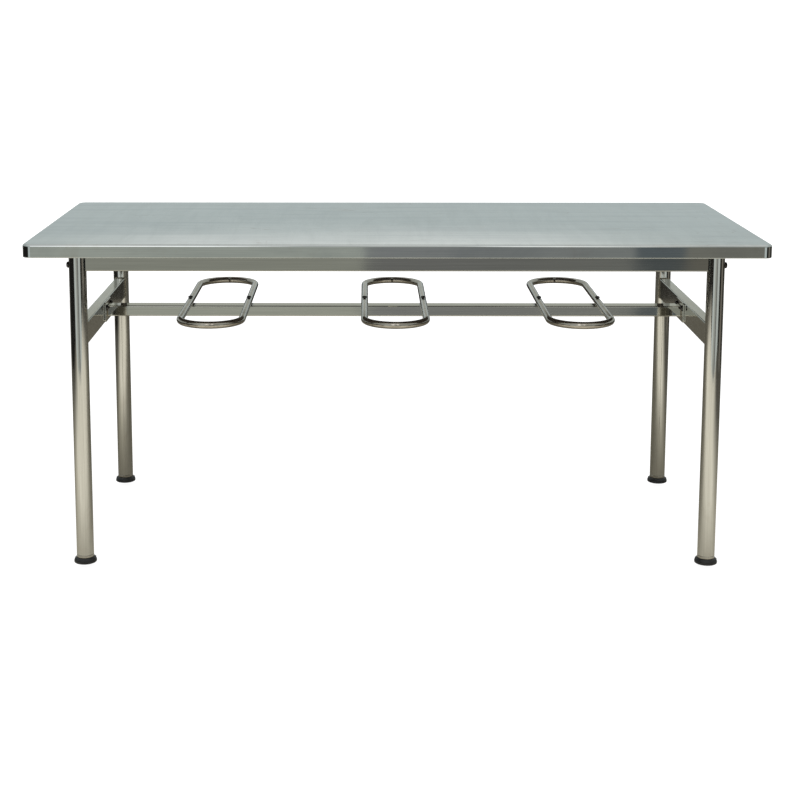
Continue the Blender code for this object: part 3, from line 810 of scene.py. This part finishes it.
def tree_with(name, inputs):
    """A geometry node tree with named inputs, given as {name: default value or socket type}."""
    tree = bpy.data.node_groups.new(name, "GeometryNodeTree")
    tree.interface.new_socket("Geometry", in_out="INPUT", socket_type="NodeSocketGeometry")
    tree.interface.new_socket("Geometry", in_out="OUTPUT", socket_type="NodeSocketGeometry")
    for label, value in inputs.items():
        kind = value if isinstance(value, str) else SOCKETS[type(value)]
        socket = tree.interface.new_socket(label, in_out="INPUT", socket_type=kind)
        if not isinstance(value, str):
            socket.default_value = value
    return tree, tree.nodes.new("NodeGroupInput").outputs


def end_tree(tree, geometry, material, source=None):
    """Adds the source mesh if it is kept, realises the copies, sets the material and sends all out."""
    if source is not None:
        together = node(tree, "GeometryNodeJoinGeometry")
        tree.links.new(geometry, together.inputs[0])
        tree.links.new(source, together.inputs[0])
        geometry = together.outputs[0]
    real = node(tree, "GeometryNodeRealizeInstances", {"Geometry": geometry})
    smooth = node(tree, "GeometryNodeSetShadeSmooth", {"Geometry": real.outputs[0]})
    painted = node(tree, "GeometryNodeSetMaterial", {"Geometry": smooth.outputs[0], "Material": material})
    node(tree, "NodeGroupOutput", {"Geometry": painted.outputs[0]})


def grown(tree, source, values):
    """Runs a tree on a mesh with its inputs set, and returns a plain mesh."""
    obj = placed("grown", source)
    modifier = obj.modifiers.new("shape", "NODES")
    modifier.node_group = tree
    for item in tree.interface.items_tree:
        if item.in_out == "INPUT" and item.name in values:
            modifier[item.identifier] = values[item.name]
    return baked(obj)


def path_mesh(chains):
    """Closed chains of points, in one mesh, for a tree to follow."""
    points, edges = [], []
    for chain in chains:
        first, count = len(points), len(chain)
        points += chain
        edges += [(first + i, first + (i + 1) % count) for i in range(count)]
    mesh = bpy.data.meshes.new("path")
    mesh.from_pydata(points, edges, [])
    return mesh


# %% The stool loops
loop_sizes = {"Loop width": 0.138, "Loop length": 0.556, "Tube radius": 0.008, "Place": (0.0, 0.0, 0.0)}
HALF_WIDTH = 0.4999  # just short of a half, so that the two bends at an end don't meet in a point
loop_tree, sizes = tree_with("bent_tube_loop", loop_sizes)
outline = {"Width": sizes["Loop width"], "Height": sizes["Loop length"]}
outline = node(loop_tree, "GeometryNodeCurvePrimitiveQuadrilateral", outline)
bend = node(loop_tree, "ShaderNodeMath", {0: sizes["Loop width"], 1: HALF_WIDTH}, operation="MULTIPLY")
bends = {"Curve": outline.outputs[0], "Count": 24, "Radius": bend.outputs[0]}
bent = node(loop_tree, "GeometryNodeFilletCurve", bends, mode="POLY")
section = {"Resolution": 28, "Radius": sizes["Tube radius"]}
section = node(loop_tree, "GeometryNodeCurvePrimitiveCircle", section)
swept = {"Curve": bent.outputs[0], "Profile Curve": section.outputs[0]}
swept = node(loop_tree, "GeometryNodeCurveToMesh", swept)
merged = node(loop_tree, "GeometryNodeMergeByDistance", {"Geometry": swept.outputs[0], "Distance": 0.00002})
set_down = {"Geometry": merged.outputs[0], "Translation": sizes["Place"]}
set_down = node(loop_tree, "GeometryNodeTransform", set_down)
end_tree(loop_tree, set_down.outputs[0], loop_steel)

for number in (1, 2, 3):
    middle, half = middle_of(f"stool_loop_{number}")
    values = {
        "Loop width": 2 * (half.x - half.z),
        "Loop length": 2 * (half.y - half.z),
        "Tube radius": half.z,
        "Place": tuple(middle),
    }
    mesh = grown(loop_tree, bpy.data.meshes.new("empty"), values)
    piece(f"stool_loop_{number}_tube", mesh, loop_steel, nodes=[f"stool_loop_{number}"])

# %% [markdown]
# ## Bolts
#
# Everything is held with button-head bolts: a low dome with a hexagon socket, on a thin washer.
# The bolt is modelled once for each size. A node tree then sets a copy on every point of
# a small mesh, turned to the way that the point faces.


# %% One button-head bolt
def hexagon(radius, steps, height):
    """A hexagon with as many points as the circle that it meets."""
    ring = []
    for i in range(steps):
        angle = tau * i / steps
        from_flat = (angle + pi / 6) % (pi / 3) - pi / 6
        ring.append(Vector((cos(angle), sin(angle), 0)) * (radius / cos(from_flat)) + Vector((0, 0, height)))
    return ring


BOLT_SIDES = 36
BOLT_EDGE, BOLT_END = 0.0002, 0.0008
SOCKET, SOCKET_RIM = 0.42, 1.32  # the socket as a share of the head, and its rim of the socket
DOME_STEPS, DOME_FOOT = 6, 0.0004


def button_bolt(head, shank, washer, length):
    """Stands on z = 0 with its shank below. head and washer are each a radius and a height."""
    socket = head[0] * SOCKET
    rim = socket * SOCKET_RIM
    dome = head[1] - washer[1]
    rings = [hexagon(socket * 0.98, BOLT_SIDES, head[1] - dome * 0.75)]
    rings.append(hexagon(socket, BOLT_SIDES, head[1] - dome * 0.08))
    profile = [(rim, head[1])]
    for i in range(1, DOME_STEPS + 1):
        a = pi / 2 * i / DOME_STEPS
        profile.append((rim + (head[0] - rim) * sin(a), washer[1] + DOME_FOOT + (dome - DOME_FOOT) * cos(a)))
    profile += [
        (head[0] - BOLT_EDGE, washer[1]),
        (washer[0] - BOLT_EDGE, washer[1]),
        (washer[0], washer[1] - BOLT_EDGE),
        (washer[0], 0.0),
        (shank, 0.0),
        (shank, -length + BOLT_END),
        (shank - BOLT_END, -length),
    ]
    rings += [circle(radius, BOLT_SIDES, height) for radius, height in profile]
    return smoothed(skin(rings), 40)


# %% Sets of bolts
set_tree, sizes = tree_with("bolts_on_points", {"Bolt": "NodeSocketObject", "Scale": 1.0})
facing = node(set_tree, "GeometryNodeInputNamedAttribute", {"Name": "facing"}, data_type="FLOAT_VECTOR")
aligned = node(set_tree, "FunctionNodeAlignRotationToVector", {"Vector": facing.outputs[0]}, axis="Z")
model = node(set_tree, "GeometryNodeObjectInfo", {"Object": sizes["Bolt"]})
copies = {
    "Points": sizes["Geometry"],
    "Instance": model.outputs["Geometry"],
    "Rotation": aligned.outputs[0],
    "Scale": sizes["Scale"],
}
copies = node(set_tree, "GeometryNodeInstanceOnPoints", copies)
end_tree(set_tree, copies.outputs[0], bolt_steel)


def bolt_set(name, bolts, axis, size, length):
    """Copies of one bolt. bolts are pairs of a CAD bolt and which way along the axis its head faces.

    Each head ends where its CAD bolt's head does.
    """
    head = size[0]
    seats, ways = [], []
    for bolt_name, sign in bolts:
        low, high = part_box(bolt_name)
        seat, way = (low + high) / 2, Vector((0, 0, 0))
        seat[axis] = (high[axis] if sign > 0 else low[axis]) - sign * head[1]
        way[axis] = sign
        seats.append(seat)
        ways.append(way)
    points = bpy.data.meshes.new("seats")
    points.from_pydata(seats, [], [])
    stored = points.attributes.new("facing", "FLOAT_VECTOR", "POINT")
    for i, way in enumerate(ways):
        stored.data[i].vector = way
    bolt_model = placed("bolt_model", button_bolt(*size, length))
    mesh = grown(set_tree, points, {"Bolt": bolt_model})
    bpy.data.objects.remove(bolt_model)
    piece(name, mesh, bolt_steel, nodes=[bolt_name for bolt_name, _ in bolts])


# head radius and height, shank radius, washer radius and thickness
M8_BOLT = ((0.0068, 0.0045), 0.0039, (0.0070, 0.0008))
M5_BOLT = ((0.0056, 0.0036), 0.0024, (0.0058, 0.0006))
RAILS_WITH_SCREWS = ("left_top_end", "right_top_end", "centre_bearer")
LEG_BOLTS = [(f"{leg}_bolt", -1 if "left" in leg else 1) for leg in LEGS]
PLATE_BOLTS = [(f"{side}_{row}_plate_bolt", 1 if side == "left" else -1) for side in ENDS for row in ROWS]
LOOP_BOLTS = [(f"loop_{n}_{side}_bolt", 1) for n in (1, 2, 3) for side in ENDS]
TOP_SCREWS = [(f"{rail}_{row}_screw", -1) for rail in RAILS_WITH_SCREWS for row in ROWS]
bolt_set("leg_bolt_set", LEG_BOLTS, 0, M8_BOLT, 0.0495)
bolt_set("plate_bolt_set", PLATE_BOLTS, 0, M8_BOLT, 0.0175)
bolt_set("loop_bolt_set", LOOP_BOLTS, 2, M5_BOLT, 0.0275)
bolt_set("top_screw_set", TOP_SCREWS, 2, M5_BOLT, 0.0515)

# %% [markdown]
# ## Plates
#
# The stretcher ends in a small plate at each side, bolted flat on the end rail. It is cut from
# three-millimetre strip with its corners rounded and its edges tumbled.


# %% End plates
PLATE_CORNER, PLATE_EDGE = 0.005, 0.0004


def plate(name, holes):
    """A flat plate across X that fills a CAD node's box, with its edges eased."""
    middle, half = middle_of(name)
    eased = [(PLATE_EDGE, 0.0), (PLATE_EDGE * 0.3, PLATE_EDGE * 0.3), (0, PLATE_EDGE)]
    faces = [(inset, -1 + depth / half.x) for inset, depth in eased]
    faces += [(inset, -depth) for inset, depth in reversed(faces)]
    rings = []
    for inset, depth in faces:
        outline = rounded(half.y - inset, half.z - inset, PLATE_CORNER - inset, 6)
        rings.append([middle + Vector((depth * half.x, a, b)) for a, b in outline])
    return smoothed(cut(skin(rings), [drill(0.02, spot) for spot in holes]), 30)


for side in ENDS:
    spots = [middle_of(f"{side}_{row}_plate_bolt")[0] for row in ROWS]
    mesh = plate(f"{side}_end_plate", spots)
    piece(f"{side}_end_plate_cut", mesh, rail_steel_y, nodes=[f"{side}_end_plate"])

for leg in LEGS:
    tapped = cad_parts[f"{leg.removesuffix('_leg')}_rail_nut_plate"]
    tapped.data.materials.clear()
    tapped.data.materials.append(zinc_steel)
print("nut plates finished in", zinc_steel.name)

# %% [markdown]
# ## Welds
#
# The end rails are welded all round to the legs, and the stretcher to its plates. A TIG bead is
# a row of small overlapping puddles, so a node tree walks along the joint and sets a squashed
# drop every millimetre and a half, each a little different in size.

# %% Weld beads
bead_tree, sizes = tree_with("weld_bead", {"Bead radius": 0.0016, "Spacing": 0.0015, "Seed": 3})
bead_line = node(bead_tree, "GeometryNodeMeshToCurve", {"Mesh": sizes["Geometry"]})
walked = {"Curve": bead_line.outputs[0], "Length": sizes["Spacing"]}
walked = node(bead_tree, "GeometryNodeResampleCurve", walked, mode="LENGTH")
drop = node(bead_tree, "GeometryNodeMeshIcoSphere", {"Radius": sizes["Bead radius"], "Subdivisions": 2})
along = node(bead_tree, "GeometryNodeInputTangent")
drop_turn = node(bead_tree, "FunctionNodeAlignRotationToVector", {"Vector": along.outputs[0]}, axis="Z")
drop_size = {"Min": (0.88, 0.88, 0.62), "Max": (1.08, 1.08, 0.78), "Seed": sizes["Seed"]}
drop_size = node(bead_tree, "FunctionNodeRandomValue", drop_size, data_type="FLOAT_VECTOR")
drops = {
    "Points": walked.outputs[0],
    "Instance": drop.outputs["Mesh"],
    "Rotation": drop_turn.outputs[0],
    "Scale": drop_size.outputs[0],
}
drops = node(bead_tree, "GeometryNodeInstanceOnPoints", drops)
end_tree(bead_tree, drops.outputs[0], weld_steel)

BEAD_OUT = 0.0002  # how far a bead's middle lies outside the rail
BEAD_STEP = 0.002
STRETCHER_END = 0.0004


def joint_path(rail, leg):
    """The line where a rail's outside meets a round leg."""
    low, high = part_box(rail)
    centre = middle_of(leg)[0]
    inward = -1 if centre.y > 0 else 1
    half_x, half_z, middle_z = (high.x - low.x) / 2, (high.z - low.z) / 2, (low.z + high.z) / 2
    reach = LEG_RADIUS + 0.0003

    def on_leg(x, off, z):
        return Vector((x, centre.y + inward * sqrt(reach**2 - off**2), z))

    outline = rounded(half_x + BEAD_OUT, half_z + BEAD_OUT, 0.003, 4)
    points = [on_leg(centre.x + a, a, middle_z + b) for a, b in outline]
    dense = []
    for p, q in zip(points, points[1:] + points[:1]):
        count = max(1, int((q - p).length / BEAD_STEP))
        spots = [p.lerp(q, i / count) for i in range(count)]
        dense += [on_leg(spot.x, spot.x - centre.x, spot.z) for spot in spots]
    return dense


for kind in ("end_rail", "top_end_rail"):
    paths = [joint_path(f"{side}_{kind}", f"{row}_{side}_leg") for side in ENDS for row in ROWS]
    mesh = grown(bead_tree, path_mesh(paths), {"Seed": len(kind)})
    piece(f"{kind}_welds", mesh, weld_steel)

middle, half = middle_of("stretcher")
outline = rounded(half.y, half.z, TUBE_CORNER, 4)
ends = [sign * (half.x - STRETCHER_END) for sign in (-1, 1)]
paths = [[Vector((end, middle.y + a, middle.z + b)) for a, b in outline] for end in ends]
mesh = grown(bead_tree, path_mesh(paths), {"Bead radius": 0.0012, "Spacing": 0.0013, "Seed": 9})
piece("stretcher_welds", mesh, weld_steel)

# %% [markdown]
# ## Feet
#
# Each foot is three pieces: a pad that stays on the floor, a collar that the hand turns, and a
# threaded stem that climbs in the leg's insert. The pad and the collar are black plastic with
# every edge rounded by the mould. Ribs round the collar give the fingers a grip.

# %% Thread and ribs
thread_inputs = {"Pitch": 0.0015, "Turns": 20.0, "Radius": 0.0046, "Ridge": 0.0006, "Place": (0.0, 0.0, 0.0)}
thread_tree, sizes = tree_with("screw_thread", thread_inputs)
rise_total = node(thread_tree, "ShaderNodeMath", {0: sizes["Pitch"], 1: sizes["Turns"]}, operation="MULTIPLY")
helix = {
    "Resolution": 24,
    "Rotations": sizes["Turns"],
    "Start Radius": sizes["Radius"],
    "End Radius": sizes["Radius"],
    "Height": rise_total.outputs[0],
}
helix = node(thread_tree, "GeometryNodeCurveSpiral", helix)
ridge = node(thread_tree, "GeometryNodeCurvePrimitiveCircle", {"Resolution": 4, "Radius": sizes["Ridge"]})
wound = {"Curve": helix.outputs[0], "Profile Curve": ridge.outputs[0], "Fill Caps": True}
wound = node(thread_tree, "GeometryNodeCurveToMesh", wound)
raised_up = {"Geometry": wound.outputs[0], "Translation": sizes["Place"]}
raised_up = node(thread_tree, "GeometryNodeTransform", raised_up)
end_tree(thread_tree, raised_up.outputs[0], zinc_steel, sizes["Geometry"])

rib_inputs = {
    "Ring radius": 0.0225,
    "Count": 40,
    "Rib size": (0.0012, 0.0008, 0.0042),
    "Lean": 0.6,
    "Place": (0.0, 0.0, 0.0),
}
rib_tree, sizes = tree_with("ribs_round_a_collar", rib_inputs)
ring = node(rib_tree, "GeometryNodeMeshCircle", {"Vertices": sizes["Count"], "Radius": sizes["Ring radius"]})
outward = node(rib_tree, "GeometryNodeInputPosition")
faced = node(rib_tree, "FunctionNodeAlignRotationToVector", {"Vector": outward.outputs[0]}, axis="X")
tilt = node(rib_tree, "FunctionNodeAxisAngleToRotation", {"Axis": (0.0, 1.0, 0.0), "Angle": sizes["Lean"]})
leaned = {"Rotation": faced.outputs[0], "Rotate By": tilt.outputs[0]}
leaned = node(rib_tree, "FunctionNodeRotateRotation", leaned, rotation_space="LOCAL")
rib = node(rib_tree, "GeometryNodeMeshIcoSphere", {"Radius": 0.5, "Subdivisions": 2})
ribs = {
    "Points": ring.outputs[0],
    "Instance": rib.outputs["Mesh"],
    "Rotation": leaned.outputs[0],
    "Scale": sizes["Rib size"],
}
ribs = node(rib_tree, "GeometryNodeInstanceOnPoints", ribs)
moved = node(rib_tree, "GeometryNodeTransform", {"Geometry": ribs.outputs[0], "Translation": sizes["Place"]})
end_tree(rib_tree, moved.outputs[0], foot_plastic, sizes["Geometry"])

# %% Pads, collars and stems
FOOT_SIDES = 64
BORE = 0.0055
pad_profile = [
    (0.0, 0.0017), (0.0085, 0.0017), (0.0085, 0.0043), (BORE, 0.0043), (BORE, 0.0057),
    (0.0238, 0.0057), (0.0246, 0.0054), (0.0250, 0.0046), (0.0250, 0.0012), (0.0247, 0.0005),
    (0.0240, 0.0), (0.0, 0.0),
]
collar_profile = [
    (BORE, 0.0117), (0.0196, 0.0117), (0.0202, 0.0115), (0.0207, 0.0110), (0.0224, 0.0088),
    (0.0240, 0.0071), (0.0241, 0.0066), (0.0238, 0.0060), (BORE, 0.0060),
]
stem_profile = [
    (0.0, 0.0020), (0.0080, 0.0020), (0.0080, 0.0040), (0.0043, 0.0040), (0.0043, 0.0430),
    (0.0035, 0.0440), (0.0, 0.0440),
]
RIB_Z = 0.0086
THREAD_Z, THREAD_TURNS = 0.0096, 22.0
for leg in LEGS:
    centre = middle_of(leg)[0]
    foot = f"{leg.removesuffix('_leg')}_foot"
    place = (centre.x, centre.y, 0.0)
    pad = smoothed(turned(pad_profile, FOOT_SIDES, place), 40)
    piece(f"{foot}_pad_moulded", pad, foot_plastic, f"{foot}_base", [f"{foot}_pad"])
    collar = smoothed(turned(collar_profile, FOOT_SIDES, place, wrap=True), 40)
    collar = grown(rib_tree, collar, {"Place": (centre.x, centre.y, RIB_Z)})
    piece(f"{foot}_collar_ribbed", collar, foot_plastic, f"{foot}_screw", [f"{foot}_collar"])
    thread = {"Turns": THREAD_TURNS, "Place": (centre.x, centre.y, THREAD_Z)}
    stem = grown(thread_tree, smoothed(turned(stem_profile, 32, place), 40), thread)
    piece(f"{foot}_stem_threaded", stem, zinc_steel, f"{foot}_screw", [f"{foot}_stem"])

# %% [markdown]
# ## The count
#
# The triangles of all the pieces are counted and printed. The finished table has to fill
# the CAD box and no more.

# %% Triangles and the end
print("triangles in all:", sum(triangle_counts), "in", len(triangle_counts), "pieces")
